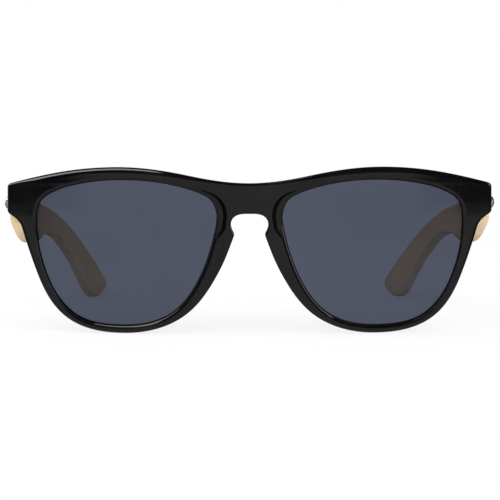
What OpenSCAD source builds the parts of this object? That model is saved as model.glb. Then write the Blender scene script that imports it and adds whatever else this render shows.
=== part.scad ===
// Sunglasses: moulded plastic front, tinted lenses, spring hinges and bamboo temples
// Millimetres, +Z up, the front faces -Y and the wearer's left side is +X

/* [Front] */
// Radius of the sphere that the wrapped front follows
wrap_r = 240; // [220:10:280]
// Thickness of the rims from front to back
rim_depth = 4.2; // [4.1:0.1:5]
// Width of the bevelled band round each lens
bevel_w = 1; // [0.9:0.05:1.2]
// How much wider the band is beside the bridge
bridge_band = 1; // [0.5:0.1:1.1]
// Depth of the lens opening's lip under the front face
lip_drop = 0.35; // [0.3:0.05:0.45]
// How far the front lip stands back from the clear opening
lip_in = 0.4; // [0.3:0.02:0.44]
// Radius of the rounded outer edges
edge_r = 0.9; // [0.6:0.1:1]
// Radius of the rounded top edge of the brow
brow_r = 1.9; // [1.2:0.1:2.2]
// Depth of the bands beside the bridge under the bridge face
bridge_sink = 0.6; // [0.3:0.1:0.7]
// Extra width of the sloped sides of the bridge face
bridge_slope = 0.8; // [0.4:0.05:1]
// How far the nose bearings stand out behind the rims
pad_depth = 4.6; // [3:0.2:6]
// How far the lugs stand out past the lens openings
lug_w = 8.85; // [8.6:0.05:9.8]
// Depth of the lugs behind the middle of the front
lug_back = 17.5; // [17:0.25:19]

/* [Lenses] */
// Thickness of the lenses
lens_t = 2; // [1.8:0.1:2.1]
// Depth of the front of the lens under the front face
lens_drop = 1.6; // [1.5:0.05:1.7]
// How far the lens edge goes into the rim
lens_bite = 0.95; // [0.8:0.05:1]
// Clearance between the lens and its groove
lens_gap = 0.05; // [0.03:0.01:0.08]

/* [Temples] */
// Length of the boards behind the lugs
board_l = 144.2; // [134:0.4:154]
// Thickness of the boards
board_t = 5; // [4.6:0.1:5.6]
// Thickness of the boards at the tips
tip_t = 3.8; // [3.5:0.1:4.4]
// Radius of the rounded long edges
board_r = 1.1; // [0.8:0.1:1.6]
// Angle at which each board runs inward
splay = 5.8; // [5.3:0.1:6.3]
// How much further in the left board hangs in its hinge
left_turn = 1.4; // [0:0.2:2]
// Gap between the end of the board and the lug
butt_gap = 0.25; // [0.15:0.05:0.4]

/* [Hinges] */
// Height of the middle of the hinge over the table
hinge_z = 39.2; // [38.8:0.1:39.6]
// Radius of the barrels
barrel_r = 1.6; // [1.4:0.05:1.7]
// Height of the middle barrel
mid_h = 1.8; // [1.6:0.1:2]
// Height of the upper and lower barrels
end_h = 1.7; // [1.4:0.1:1.9]
// Gap between the barrels
barrel_gap = 0.1; // [0.05:0.05:0.15]
// Radius of the pivot screw
pin_r = 0.65; // [0.55:0.05:0.75]
// Running clearance of the middle barrel on the screw
run_gap = 0.05; // [0.02:0.01:0.08]
// Clearance of fixed metal pieces in their seats
seat_gap = 0.02; // [0.01:0.01:0.03]
// Distance of the pivot from the inner face of the board
pivot_in = 1.9; // [1.85:0.05:2.1]
// Downward slope of the spring box along the board
box_tilt = 14; // [12:1:16]
// Length of the spring box
box_l = 8.6; // [8.5:0.1:9.4]
// Width of the spring box across the board's thickness
box_w = 3; // [2.9:0.05:3.2]
// Height of the spring box
box_h = 3.8; // [3.6:0.1:4]

/* [Springs and rivets] */
// Wire thickness of the springs
wire_d = 0.28; // [0.24:0.02:0.28]
// Turns of each spring
turns = 4; // [3:1:4]
// Radius of the slider's rod
rod_r = 0.45; // [0.4:0.05:0.45]
// Spring travel of each temple
flex = 1.2; // [0.8:0.1:1.2]
// Radius of the rivet heads
rivet_r = 1.65; // [1.4:0.05:1.8]
// Height of the rivet heads over the lug
rivet_h = 1; // [0.9:0.05:1.3]

/* [Hidden] */

// Curves: each knot is [x, z, heading], and the handles between two knots are those of a round arc
function arm(turn) = abs(turn) < 0.1 ? 1 / 3 : (2 / 3) * tan(turn / 4) / sin(turn / 2);
function way(a) = [cos(a), sin(a)];
function flat(k) = [k[0], k[1]];
function handle(p, q) = arm(q[2] - p[2]) * norm(flat(q) - flat(p));
function leave(p, q) = flat(p) + handle(p, q) * way(p[2]);
function reach(p, q) = flat(q) - handle(p, q) * way(q[2]);
function curve(p, q, t) = let (b = leave(p, q), c = reach(p, q), u = 1 - t)
  u * u * u * flat(p) + 3 * t * u * u * b + 3 * t * t * u * c + t * t * t * flat(q);
function heading(p, q, t) = let (b = leave(p, q), c = reach(p, q), u = 1 - t,
    d = u * u * (b - flat(p)) + 2 * t * u * (c - b) + t * t * (flat(q) - c))
  d / norm(d);
function left_of(d) = [-d[1], d[0]];
function ease(t) = let (c = max(0, min(1, t))) c * c * (3 - 2 * c);
function mix(a, b, t) = a + (b - a) * t;

// Outer edge of the left half of the front, clockwise from the top of the bridge to the nose arch
bridge_low = 35.5;
bridge_top = 44.5;
opening_x = 63.85;
lug_x = opening_x + lug_w;
outer_knots = [[0, bridge_top, 0], [17.8, 46.7, 12], [39.2, 49.3, 0], [57.5, 47.7, -10],
  [lug_x - 1.15, 44.54, -14.5], [lug_x, 43.3, -90], [lug_x, 36.5, -90], [lug_x - 0.9, 35.1, -150],
  [opening_x + 4.35, 31.2, -107], [62.85, 15.9, -112], [53.9, 3.9, -147], [37.4, 0, -180],
  [19.6, 5.1, -215], [8.9, 18.7, -242], [4.63, 28.97, -250], [4.56, 29.45, -272.5], [4.67, 29.93, -295],
  [5.5, 32.4, -270], [4.7, 34.4, -225], [0, bridge_low, -180]];
// Edge of the clear opening behind the lens, from beside the nose arch, clockwise
inner_knots = [[9.69, 36.44, 77], [12.6, 40.69, 29], [20.76, 43.67, 14], [37.75, 45.68, 0],
  [49.43, 44.73, -10], [57.91, 42.42, -24], [61.31, 40.55, -39], [63.4, 37.5, -76],
  [opening_x - 0.03, 35.76, -84], [opening_x, 32.6, -90], [60.19, 15.64, -113], [53.14, 6, -142],
  [37.45, 2.13, -180], [22.12, 6.59, -218], [13.71, 18.54, -246], [10.36, 28.85, -256.5],
  [10.225, 29.42, -257], [10.1, 29.97, -257.6], [9.64, 32.35, -262], [9.44, 34.6, -271],
  [9.69, 36.44, -283]];
// Steps along each stretch, the first one is the joint of the two halves at the bridge
steps = [8, 7, 7, 6, 5, 5, 4, 5, 5, 8, 8, 8, 8, 8, 6, 2, 2, 4, 4, 5];
cut_n = steps[0];

// Columns of the front: [inner point, inner normal, outer point, outer normal, place along the stretches]
columns = [for (k = [0 : len(steps) - 1]) for (i = [0 : steps[k] - 1])
  let (t = i / steps[k], ia = inner_knots[k], ib = inner_knots[k + 1],
    oa = outer_knots[k - 1], ob = outer_knots[k],
    cut_z = mix(bridge_low + edge_r + 0.3, bridge_top - edge_r - 0.3, t))
  [curve(ia, ib, t), left_of(heading(ia, ib, t)),
    k > 0 ? curve(oa, ob, t) : i > 0 ? [0, cut_z] : [0, bridge_low],
    k > 0 ? left_of(heading(oa, ob, t)) : i > 0 ? [0, 0] : [0, -1],
    k + t]];
col_n = len(columns);
mid_z = 24;
function skin(p, d) = wrap_r - sqrt(pow(wrap_r - d, 2) - p[0] * p[0] - pow(p[1] - mid_z, 2));

// How much each column belongs to the lug, to a nose bearing, to the brow and to the side of the bridge
function lug(at) = ease(at - 4) * ease(9 - at);
function nose(c) = ease((c[4] - 12.7) / 1.1) * ease((30 - c[0][1]) / 3.5);
function brow(at) = ease((at - 1.4) / 1.4) * ease((5 - at) / 0.6);
function beside(c) = c[4] < 8 ? ease(1 - c[4] / 1.5) : ease((c[0][1] - 27.5) / 5) * ease(c[4] - 12);
function on(p, d) = [p[0], skin(p, d), p[1]];
groove_front = lens_drop - lens_gap;
groove_back = lens_drop + lens_t + lens_gap;
groove_bite = lens_bite + lens_gap;
soft = edge_r * (1 - sin(45));
pad_splay = 1.2;

// Closed profile of one column, from the lens lip over the front face to the back and the groove
function ring(c) = let (at = c[4], g = lug(at), near = beside(c), pad = nose(c), w = norm(c[2] - c[0]),
    band = min(bevel_w + bridge_band * near, 0.42 * w), sink = bridge_sink * near,
    r = min(mix(edge_r, brow_r, brow(at)), w - band - 0.45),
    wide = min(band + 0.2 + bridge_slope * near, w - r - 0.2),
    deep = rim_depth + pad_depth * pad, deep1 = rim_depth + 0.5 * pad_depth * pad,
    lean = pad_splay * pad, in1 = min(1.9, 0.45 * w), in2 = min(1.1, 0.3 * w),
    a0 = c[0] + lip_in * c[1], a1 = a0 + 0.1 * c[1], a2 = c[0] + band * c[1], a3 = c[0] + wide * c[1],
    lip = lip_drop + 0.8 * sink, e0 = c[2] - lean * c[3], e1 = e0 - soft * c[3], e2 = e0 - edge_r * c[3],
    f1 = c[0] + in1 * c[1], f2 = c[0] + in2 * c[1], f3 = c[0] + 0.35 * c[1], f4 = c[0],
    f5 = c[0] + groove_bite * c[1])
  concat([on(a0, groove_front), on(a0, lip), on(a1, lip - 0.1), on(a2, 0.08 + sink), on(a3, 0)],
    [for (a = [0, 30, 60, 90]) on(c[2] - r * (1 - sin(a)) * c[3], r * (1 - cos(a)))],
    [[e0[0], mix(skin(e0, deep - edge_r), lug_back - edge_r, g), e0[1]],
      [e1[0], mix(skin(e1, deep - soft), lug_back - soft, g), e1[1]],
      [e2[0], mix(skin(e2, deep), lug_back, g), e2[1]],
      [f1[0], mix(skin(f1, deep1), lug_back, g), f1[1]],
      on(f2, rim_depth), on(f3, rim_depth), on(f4, rim_depth - 0.3), on(f4, groove_back),
      on(f5, groove_back), on(f5, groove_front)]);
rings = [for (c = columns) ring(c)];
ring_n = len(rings[0]);
half = [for (r = rings) for (p = r) p];
front_pts = concat(half, [for (p = half) [-p[0], p[1], p[2]]]);
// The two halves share the points of the joint at the bridge, between these two places of the profile
cut_a = 5;
cut_b = 11;
function shared(i, j) = j >= cut_a && j <= cut_b
  && (i == 0 || i == cut_n || (i < cut_n && (j == cut_a || j == cut_b)));
function at_l(i, j) = (i % col_n) * ring_n + j % ring_n;
function at_r(i, j) = shared(i % col_n, j % ring_n) ? at_l(i, j) : col_n * ring_n + at_l(i, j);
function patch(a, b, c, d) = [[a, b, c], [a, c, d]];
front_faces = [for (i = [0 : col_n - 1]) for (j = [0 : ring_n - 1])
  if (i >= cut_n || j < cut_a || j >= cut_b)
    for (f = concat(patch(at_l(i, j), at_l(i, j + 1), at_l(i + 1, j + 1), at_l(i + 1, j)),
      patch(at_r(i, j), at_r(i + 1, j), at_r(i + 1, j + 1), at_r(i, j + 1)))) f];

// Temple board: the outer face is flush with the side of the lug, and runs inward by the splay angle
seam_x = lug_x;
function board(s, q, z) = [seam_x - s * sin(splay) + q * cos(splay),
  lug_back + s * cos(splay) + q * sin(splay), z];
// Lower and upper edges in the board's plane, [along, height, heading], with matching knots
low_drawn = [[-3, 34.2, -27], [2.2, 31.15, -32], [10, 27.05, -21], [17.7, 25.5, 0], [25, 26.3, 10],
  [34.5, 27.3, 0], [46, 26.6, -6], [58, 24.5, -15], [72, 20.1, -19], [88, 13.95, -24],
  [103, 6.85, -26], [112.5, 2.5, -22], [120.5, 0.3, -8], [126.5, 0, 2], [136, 0.9, 9],
  [141.4, 2.15, 22], [144.2, 3.3, 62]];
top_drawn = [[-3, 44.6, -6], [4, 43.4, -14], [13, 40.72, -18], [21, 38.35, -15], [29, 36.8, -8],
  [38, 35.65, -8], [48, 34.2, -11], [60, 31.65, -12.5], [74, 28.25, -16], [90, 23.35, -17],
  [104, 18.75, -19.5], [114, 15.35, -18], [123, 12.25, -21], [130, 9.5, -22], [137, 6.7, -21],
  [142.2, 4.8, -26], [144.2, 3.85, -60]];
// Only the stretch behind the spring box, from the fourth knot on, changes with the length of the board
function stretch(knots) = let (from = knots[3][0], to = knots[len(knots) - 1][0])
  [for (i = [0 : len(knots) - 1]) let (k = knots[i])
    [i > 3 ? from + (k[0] - from) * (board_l - from) / (to - from) : k[0], k[1], k[2]]];
low_knots = stretch(low_drawn);
top_knots = stretch(top_drawn);
board_steps = [2, 3, 4, 4, 3, 4, 4, 4, 4, 4, 4, 4, 3, 3, 4, 4];
tip_at = len(board_steps);
edge_pairs = concat([for (k = [0 : tip_at - 1]) for (i = [0 : board_steps[k] - 1])
    let (t = i / board_steps[k])
      [curve(low_knots[k], low_knots[k + 1], t), curve(top_knots[k], top_knots[k + 1], t), k + t]],
  [[flat(low_knots[tip_at]), flat(top_knots[tip_at]), tip_at]]);
// Thickness along the board, with a rounded tip
function rounding(at) = let (e = max(0, 1 - (tip_at - at) / 2)) 0.4 + 0.6 * sqrt(1 - e * e);
function board_w(at) = mix(board_t, tip_t, ease((at - 3.5) / 3)) * rounding(at);
corner_n = 4;
function slice(e) = let (h = norm(e[1] - e[0]), g = (e[1] - e[0]) / h, w = board_w(e[2]),
    r = min(board_r, 0.46 * h, 0.46 * w), mid = -board_t / 2)
  [for (c = [0 : 3]) for (k = [0 : corner_n - 1]) let (a = 90 * c + 90 * k / (corner_n - 1),
    q = mid + (c == 0 || c == 3 ? 1 : -1) * (w / 2 - r) + r * cos(a),
    y = (c < 2 ? h - r : r) + r * sin(a), p = e[0] + g * y) board(p[0], q, p[1])];
slices = [for (e = edge_pairs) slice(e)];
slice_n = 4 * corner_n;
last = len(slices) - 1;
board_pts = [for (s = slices) for (p = s) p];
board_faces = concat([for (i = [0 : last - 1]) for (j = [0 : slice_n - 1])
    let (a = i * slice_n + j, b = i * slice_n + (j + 1) % slice_n)
      for (f = patch(a, b, b + slice_n, a + slice_n)) f],
  [for (j = [1 : slice_n - 2]) [0, j + 1, j]],
  [for (j = [1 : slice_n - 2]) [last * slice_n, last * slice_n + j, last * slice_n + j + 1]]);

// The whole pair is centred from front to back
front_y = min([for (p = half) p[1]]);
back_y = max([for (p = board_pts) p[1]]);
centre_y = (front_y + back_y) / 2;
echo(depth = back_y - front_y, centre_y = centre_y);

// Pivot of the left hinge
pivot_y = lug_back + barrel_r + 0.3;
pivot_q = -board_t - pivot_in;
pivot_s = (pivot_y - lug_back - pivot_q * sin(splay)) / cos(splay);
pivot = board(pivot_s, pivot_q, hinge_z);
echo(pivot = pivot - [0, centre_y, 0]);
bore_r = pin_r + run_gap;
leaf_x0 = pivot[0] + 0.55;
leaf_x1 = leaf_x0 + 4.6;
leaf_h = mid_h + 2 * barrel_gap + 2 * end_h + 0.4;
leaf_t = 1.2;
foot_l = 2.8;
rivet_y = lug_back - 3.2;
rivet_z = 38.5;
rivet_pin = 0.6;
rivet_seat = lug_x - 0.5;
foot_x0 = leaf_x0 + 1;
foot_x1 = leaf_x0 + 3.4;
foot_h = 3.6;

// Spring box, in its own frame: Y along the box from the pivot, X outward, Z up
box_v0 = pivot_in - 0.8;
box_v1 = box_v0 + box_w;
box_mid = (box_v0 + box_v1) / 2;
box_u0 = barrel_r + 0.6;
box_u1 = box_u0 + box_l;
slot_l = flex + 1.5;
wall_l = 0.9;
bore_u = box_u0 + slot_l + wall_l;
spring_bore = 1.05;
spring_r = 0.95 - wire_d / 2;
nut_l = 1.2;
nut_r = 0.95;
rod_end = box_u1 - 1;
nut_u = rod_end - nut_l;
spring_l = nut_u - bore_u - 0.1;
shank_t = 1.2;
shank_h = 1.6;
slide_gap = 0.06;
plate_h = 5;
plate_t = pivot_in - box_v0;
screw_r = 0.55;
screw_head = 1.1;
screw_in = 2.1;
screw_at = [box_u0 + screw_in, box_u1 - screw_in];
screw_z = -box_h / 2 - plate_h / 2;
screw_l = 3.1;
pitch = (spring_l - wire_d) / turns;
echo(spring_gap = pitch - wire_d, spring_l = spring_l);

module whole() {
  translate([0, -centre_y, 0]) children();
}
module right_side() {
  mirror([1, 0, 0]) children();
}
module left_side() {
  translate(pivot) rotate([0, 0, left_turn]) translate(-pivot) children();
}
module in_box() {
  translate(pivot) rotate([0, 0, splay]) rotate([-box_tilt, 0, 0]) children();
}
module in_board() {
  translate(pivot) rotate([0, 0, splay]) children();
}
module span(lo, hi) {
  translate(lo) cube(hi - lo);
}

// Recess in a lug for the hinge leaf, its foot and the rivet
module lug_seat() {
  g = seat_gap;
  span([leaf_x0 - g, lug_back - leaf_t - g, hinge_z - leaf_h / 2 - g],
    [leaf_x1 + g, lug_back + 1, hinge_z + leaf_h / 2 + g]);
  span([foot_x0 - g, lug_back - leaf_t - foot_l - g, hinge_z - foot_h / 2 - g],
    [foot_x1 + g, lug_back - leaf_t, hinge_z + foot_h / 2 + g]);
  translate([foot_x1 - 0.5, rivet_y, rivet_z]) rotate([0, 90, 0])
    cylinder(h = 6, r = rivet_pin + g, $fn = 32);
  translate([rivet_seat, rivet_y, rivet_z]) rotate([0, 90, 0])
    cylinder(h = 3, r = rivet_r + 0.1, $fn = 48);
}
module front_frame() {
  color([0.06, 0.06, 0.06]) whole() difference() {
    polyhedron(points = front_pts, faces = front_faces, convexity = 8);
    lug_seat();
    right_side() lug_seat();
  }
}

lens_edge = [for (c = columns) c[0] + lens_bite * c[1]];
module lens() {
  intersection() {
    translate([0, 30, 0]) rotate([90, 0, 0]) linear_extrude(height = 40) polygon(lens_edge);
    difference() {
      translate([0, wrap_r, mid_z]) sphere(r = wrap_r - lens_drop, $fn = 180);
      translate([0, wrap_r, mid_z]) sphere(r = wrap_r - lens_drop - lens_t, $fn = 180);
    }
  }
}
module left_lens() {
  color([0.3, 0.31, 0.35]) whole() lens();
}
module right_lens() {
  color([0.3, 0.31, 0.35]) whole() right_side() lens();
}

// Room in the board for the slider, the box and its screws
module board_seat() {
  g = seat_gap;
  in_box() {
    span([box_v0 - 2, box_u0 - g, -box_h / 2 - g], [box_v1 + g, box_u1 + g, box_h / 2 + g]);
    for (a = screw_at) translate([0, a, screw_z]) rotate([0, 90, 0])
      cylinder(h = pivot_in + screw_l + 0.2, r = screw_r + g, $fn = 24);
  }
  in_board() span([0, -4, -1.5], [box_mid + shank_t / 2 + 0.3, box_u0 + 0.8, 1.3]);
}
module temple() {
  difference() {
    polyhedron(points = board_pts, faces = board_faces, convexity = 6);
    span([seam_x - 20, -10, 20], [seam_x + 20, lug_back + butt_gap, 60]);
    board_seat();
  }
}
module left_temple() {
  color([0.85, 0.7, 0.5]) whole() left_side() temple();
}
module right_temple() {
  color([0.85, 0.7, 0.5]) whole() right_side() temple();
}

module front_hinge() {
  low = hinge_z - mid_h / 2 - barrel_gap - end_h;
  high = hinge_z + mid_h / 2 + barrel_gap;
  difference() {
    union() {
      span([leaf_x0, lug_back - leaf_t, hinge_z - leaf_h / 2], [leaf_x1, lug_back, hinge_z + leaf_h / 2]);
      span([foot_x0, lug_back - leaf_t - foot_l, hinge_z - foot_h / 2],
        [foot_x1, lug_back - leaf_t + 0.3, hinge_z + foot_h / 2]);
      for (z = [low, high]) {
        translate([pivot[0], pivot[1], z]) cylinder(h = end_h, r = barrel_r, $fn = 48);
        span([leaf_x0 + 0.1, lug_back - leaf_t / 2, z], [pivot[0] + barrel_r, pivot[1], z + end_h]);
      }
    }
    translate([pivot[0], pivot[1], low - 1]) cylinder(h = leaf_h + 2, r = pin_r + seat_gap, $fn = 40);
    translate([foot_x1 - 1.5, rivet_y, rivet_z]) rotate([0, 90, 0])
      cylinder(h = 3, r = rivet_pin + seat_gap, $fn = 32);
  }
}
module left_front_hinge() {
  color([0.72, 0.72, 0.74]) whole() front_hinge();
}
module right_front_hinge() {
  color([0.72, 0.72, 0.74]) whole() right_side() front_hinge();
}

module hinge_screw() {
  low = hinge_z - mid_h / 2 - barrel_gap - end_h;
  high = hinge_z + mid_h / 2 + barrel_gap + end_h;
  translate([pivot[0], pivot[1], 0]) difference() {
    union() {
      translate([0, 0, low]) cylinder(h = high - low, r = pin_r, $fn = 40);
      translate([0, 0, high]) cylinder(h = 0.6, r = barrel_r - 0.35, $fn = 40);
    }
    translate([-2, -0.15, high + 0.3]) cube([4, 0.3, 1]);
  }
}
module left_hinge_screw() {
  color([0.6, 0.6, 0.62]) whole() hinge_screw();
}
module right_hinge_screw() {
  color([0.6, 0.6, 0.62]) whole() right_side() hinge_screw();
}

module hinge_slider() {
  difference() {
    union() {
      translate([pivot[0], pivot[1], hinge_z - mid_h / 2]) cylinder(h = mid_h, r = barrel_r, $fn = 48);
      in_board() translate([0, 0, -mid_h / 2]) linear_extrude(height = mid_h)
        polygon([[0, 0.2], [barrel_r - 0.25, 0], [box_mid + shank_t / 2, 0.7],
          [box_mid + shank_t / 2, box_u0 + 0.1], [box_mid - shank_t / 2, box_u0 + 0.1]]);
      in_box() {
        span([box_mid - shank_t / 2, box_u0 - 0.5, -shank_h / 2],
          [box_mid + shank_t / 2, box_u0 + slot_l - 0.2, shank_h / 2]);
        translate([box_mid, box_u0 + slot_l - 0.6, 0]) rotate([-90, 0, 0])
          cylinder(h = rod_end - box_u0 - slot_l + 0.6, r = rod_r, $fn = 28);
      }
    }
    translate([pivot[0], pivot[1], hinge_z - 3]) cylinder(h = 6, r = bore_r, $fn = 40);
  }
}
module left_hinge_slider() {
  color([0.72, 0.72, 0.74]) whole() left_side() hinge_slider();
}
module right_hinge_slider() {
  color([0.72, 0.72, 0.74]) whole() right_side() hinge_slider();
}

module spring_box() {
  m = slide_gap;
  in_box() difference() {
    union() {
      span([box_v0, box_u0, -box_h / 2], [box_v1, box_u1, box_h / 2]);
      span([box_v0, box_u0, -box_h / 2 - plate_h], [box_v0 + plate_t, box_u1, 0]);
    }
    span([box_mid - shank_t / 2 - m, box_u0 - 1, -shank_h / 2 - 0.15 - m],
      [box_mid + shank_t / 2 + m, box_u0 + slot_l, shank_h / 2 + 0.15 + m]);
    translate([box_mid, box_u0, 0]) rotate([-90, 0, 0]) cylinder(h = box_l, r = rod_r + m, $fn = 28);
    translate([box_mid, bore_u, 0]) rotate([-90, 0, 0]) cylinder(h = box_l, r = spring_bore, $fn = 40);
    for (a = screw_at) translate([box_v0, a, screw_z]) rotate([0, 90, 0]) {
      translate([0, 0, -1]) cylinder(h = 4, r = screw_r + seat_gap, $fn = 24);
      translate([0, 0, -0.01])
        cylinder(h = screw_head - screw_r, r1 = screw_head + seat_gap, r2 = screw_r + seat_gap, $fn = 32);
    }
  }
}
module left_spring_box() {
  color([0.66, 0.66, 0.68]) whole() left_side() spring_box();
}
module right_spring_box() {
  color([0.66, 0.66, 0.68]) whole() right_side() spring_box();
}

module slider_nut() {
  in_box() translate([box_mid, nut_u, 0]) rotate([-90, 0, 0]) difference() {
    cylinder(h = nut_l, r = nut_r, $fn = 36);
    translate([0, 0, -1]) cylinder(h = nut_l + 2, r = rod_r + seat_gap, $fn = 28);
  }
}
module left_slider_nut() {
  color([0.8, 0.66, 0.3]) whole() left_side() slider_nut();
}
module right_slider_nut() {
  color([0.8, 0.66, 0.3]) whole() right_side() slider_nut();
}

// Spring: one tube wound from the wall of the box to the nut
coil_sides = 6;
coil_rings = turns * 8;
coil_pts = [for (i = [0 : coil_rings]) let (a = 360 * i / 8, u = bore_u + 0.05 + wire_d / 2 + pitch * i / 8)
  for (k = [0 : coil_sides - 1]) let (b = 360 * k / coil_sides, r = spring_r + wire_d / 2 * cos(b))
    [box_mid + r * cos(a), u + wire_d / 2 * sin(b), r * sin(a)]];
coil_end = coil_rings * coil_sides;
coil_faces = concat([for (i = [0 : coil_rings - 1]) for (k = [0 : coil_sides - 1])
    let (a = i * coil_sides + k, b = i * coil_sides + (k + 1) % coil_sides)
      for (f = patch(a, b, b + coil_sides, a + coil_sides)) f],
  [for (k = [1 : coil_sides - 2]) [0, k + 1, k]],
  [for (k = [1 : coil_sides - 2]) [coil_end, coil_end + k, coil_end + k + 1]]);
module hinge_spring() {
  in_box() polyhedron(points = coil_pts, faces = coil_faces, convexity = 10);
}
module left_hinge_spring() {
  color([0.5, 0.5, 0.52]) whole() left_side() hinge_spring();
}
module right_hinge_spring() {
  color([0.5, 0.5, 0.52]) whole() right_side() hinge_spring();
}

module box_screw(a) {
  in_box() translate([box_v0, a, screw_z]) rotate([0, 90, 0]) difference() {
    union() {
      cylinder(h = plate_t + screw_l, r = screw_r, $fn = 24);
      cylinder(h = screw_head - screw_r, r1 = screw_head, r2 = screw_r, $fn = 32);
    }
    translate([-2, -0.15, -0.1]) cube([4, 0.3, 0.35]);
  }
}
module left_front_box_screw() {
  color([0.6, 0.6, 0.62]) whole() left_side() box_screw(screw_at[0]);
}
module right_front_box_screw() {
  color([0.6, 0.6, 0.62]) whole() right_side() box_screw(screw_at[0]);
}
module left_rear_box_screw() {
  color([0.6, 0.6, 0.62]) whole() left_side() box_screw(screw_at[1]);
}
module right_rear_box_screw() {
  color([0.6, 0.6, 0.62]) whole() right_side() box_screw(screw_at[1]);
}

// Rivet: a dome on a short rim, with a pin that holds the foot of the hinge leaf
rivet_rim = 0.4 + lug_x - rivet_seat;
dome_h = rivet_h - 0.4;
dome_r = (rivet_r * rivet_r + dome_h * dome_h) / (2 * dome_h);
module lug_rivet() {
  translate([rivet_seat, rivet_y, rivet_z]) rotate([0, 90, 0]) {
    cylinder(h = rivet_rim, r = rivet_r, $fn = 48);
    intersection() {
      translate([0, 0, rivet_rim - 0.05]) cylinder(h = dome_h + 1, r = rivet_r, $fn = 48);
      translate([0, 0, rivet_rim + dome_h - dome_r]) sphere(r = dome_r, $fn = 64);
    }
    translate([0, 0, foot_x1 - 1.4 - rivet_seat])
      cylinder(h = rivet_seat - foot_x1 + 1.5, r = rivet_pin, $fn = 32);
  }
}
module left_lug_rivet() {
  color([0.8, 0.8, 0.82]) whole() lug_rivet();
}
module right_lug_rivet() {
  color([0.8, 0.8, 0.82]) whole() right_side() lug_rivet();
}

front_frame();
left_lens();
right_lens();
left_temple();
right_temple();
left_front_hinge();
right_front_hinge();
left_hinge_screw();
right_hinge_screw();
left_hinge_slider();
right_hinge_slider();
left_spring_box();
right_spring_box();
left_hinge_spring();
right_hinge_spring();
left_slider_nut();
right_slider_nut();
left_front_box_screw();
right_front_box_screw();
left_rear_box_screw();
right_rear_box_screw();
left_lug_rivet();
right_lug_rivet();
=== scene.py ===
"""Looks of a pair of sunglasses: glossy black front, grey lenses, bamboo temples and sprung hinges."""

from __future__ import annotations

import sys

import logging
import math
from dataclasses import dataclass
from enum import Enum
from itertools import product
from typing import Any, Sequence

import bmesh
import bpy
import numpy as np
from mathutils import Matrix, Vector

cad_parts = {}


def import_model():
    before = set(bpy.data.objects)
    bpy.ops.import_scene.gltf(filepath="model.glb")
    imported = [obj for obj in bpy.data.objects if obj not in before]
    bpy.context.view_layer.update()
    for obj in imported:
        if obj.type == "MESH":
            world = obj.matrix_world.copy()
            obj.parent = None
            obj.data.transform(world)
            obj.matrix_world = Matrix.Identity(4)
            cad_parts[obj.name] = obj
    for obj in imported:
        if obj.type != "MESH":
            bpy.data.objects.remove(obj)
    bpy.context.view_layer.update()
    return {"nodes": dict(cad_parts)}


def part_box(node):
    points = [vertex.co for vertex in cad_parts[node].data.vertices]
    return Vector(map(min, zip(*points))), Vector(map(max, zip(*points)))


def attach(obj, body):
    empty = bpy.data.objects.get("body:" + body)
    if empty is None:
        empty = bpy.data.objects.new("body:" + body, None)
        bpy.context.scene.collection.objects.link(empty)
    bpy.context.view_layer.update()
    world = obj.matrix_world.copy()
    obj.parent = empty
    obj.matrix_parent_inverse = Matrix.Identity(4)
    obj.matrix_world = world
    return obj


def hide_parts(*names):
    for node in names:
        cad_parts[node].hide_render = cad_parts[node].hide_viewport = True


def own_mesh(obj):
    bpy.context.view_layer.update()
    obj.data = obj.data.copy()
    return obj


Pair = tuple[float, float]
Triple = tuple[float, float, float]
Spot = tuple[float, float, float]
Colour = tuple[float, float, float, float]
Inputs = dict[str | int, Any]
Face = tuple[int, ...]
Tree = bpy.types.NodeTree
Socket = bpy.types.NodeSocket
Material = bpy.types.Material
Piece = bpy.types.Object

LOG = logging.getLogger("sunglasses")
MM = 0.001
CREASE_DEG = 40.0
WHITE: Colour = (1.0, 1.0, 1.0, 1.0)
# Noise seldom leaves these ranges, so tones and gloss are spread over one of them
NOISE_MID: Pair = (0.3, 0.7)
NOISE_WIDE: Pair = (0.25, 0.75)


class Slot(Enum):
    """Material slots of the part's record, which the scene's pieces do not take."""

    PLASTIC = "black_plastic"
    LENS = "grey_lens"
    BAMBOO = "bamboo"
    SPRING = "spring_steel"


class Side(Enum):
    """The wearer's two sides, with the sign of their x."""

    LEFT = 1
    RIGHT = -1

    @property
    def word(self) -> str:
        """The side's name as the node names have it."""
        return self.name.lower()


class Marks(Enum):
    """How the surface of a metal piece was worked, as its mark size in millimetres along x, y and z."""

    PLATED = (1.6, 1.6, 1.6)
    # Real turned rings and drawn streaks are a few hundredths wide, they are drawn wider so that they show
    TURNED = (2.0, 2.0, 0.12)
    DRAWN = (0.12, 2.5, 0.12)
    POLISHED = (1.5, 1.5, 1.5)


def linear(code: str) -> Colour:
    """Turns an sRGB hex colour into a linear one.

    Args:
        code: Six hex digits after a hash sign.

    Returns:
        Red, green, blue and an alpha of 1.
    """
    parts = [int(code[i : i + 2], 16) / 255 for i in (1, 3, 5)]
    red, green, blue = (c / 12.92 if c <= 0.04045 else ((c + 0.055) / 1.055) ** 2.4 for c in parts)
    return (red, green, blue, 1.0)


def step(value: float, start: float, stop: float) -> float:
    """Smooth step from 0 at start to 1 at stop."""
    t = min(1.0, max(0.0, (value - start) / (stop - start)))
    return t * t * (3 - 2 * t)


def plateau(value: float, span: Sequence[float]) -> float:
    """Smooth rise from the first to the second of four values, and fall from the third to the fourth."""
    return step(value, span[0], span[1]) * step(value, span[3], span[2])


def mix(a: float, b: float, t: float) -> float:
    """Straight blend of two values."""
    return a + (b - a) * t


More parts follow.
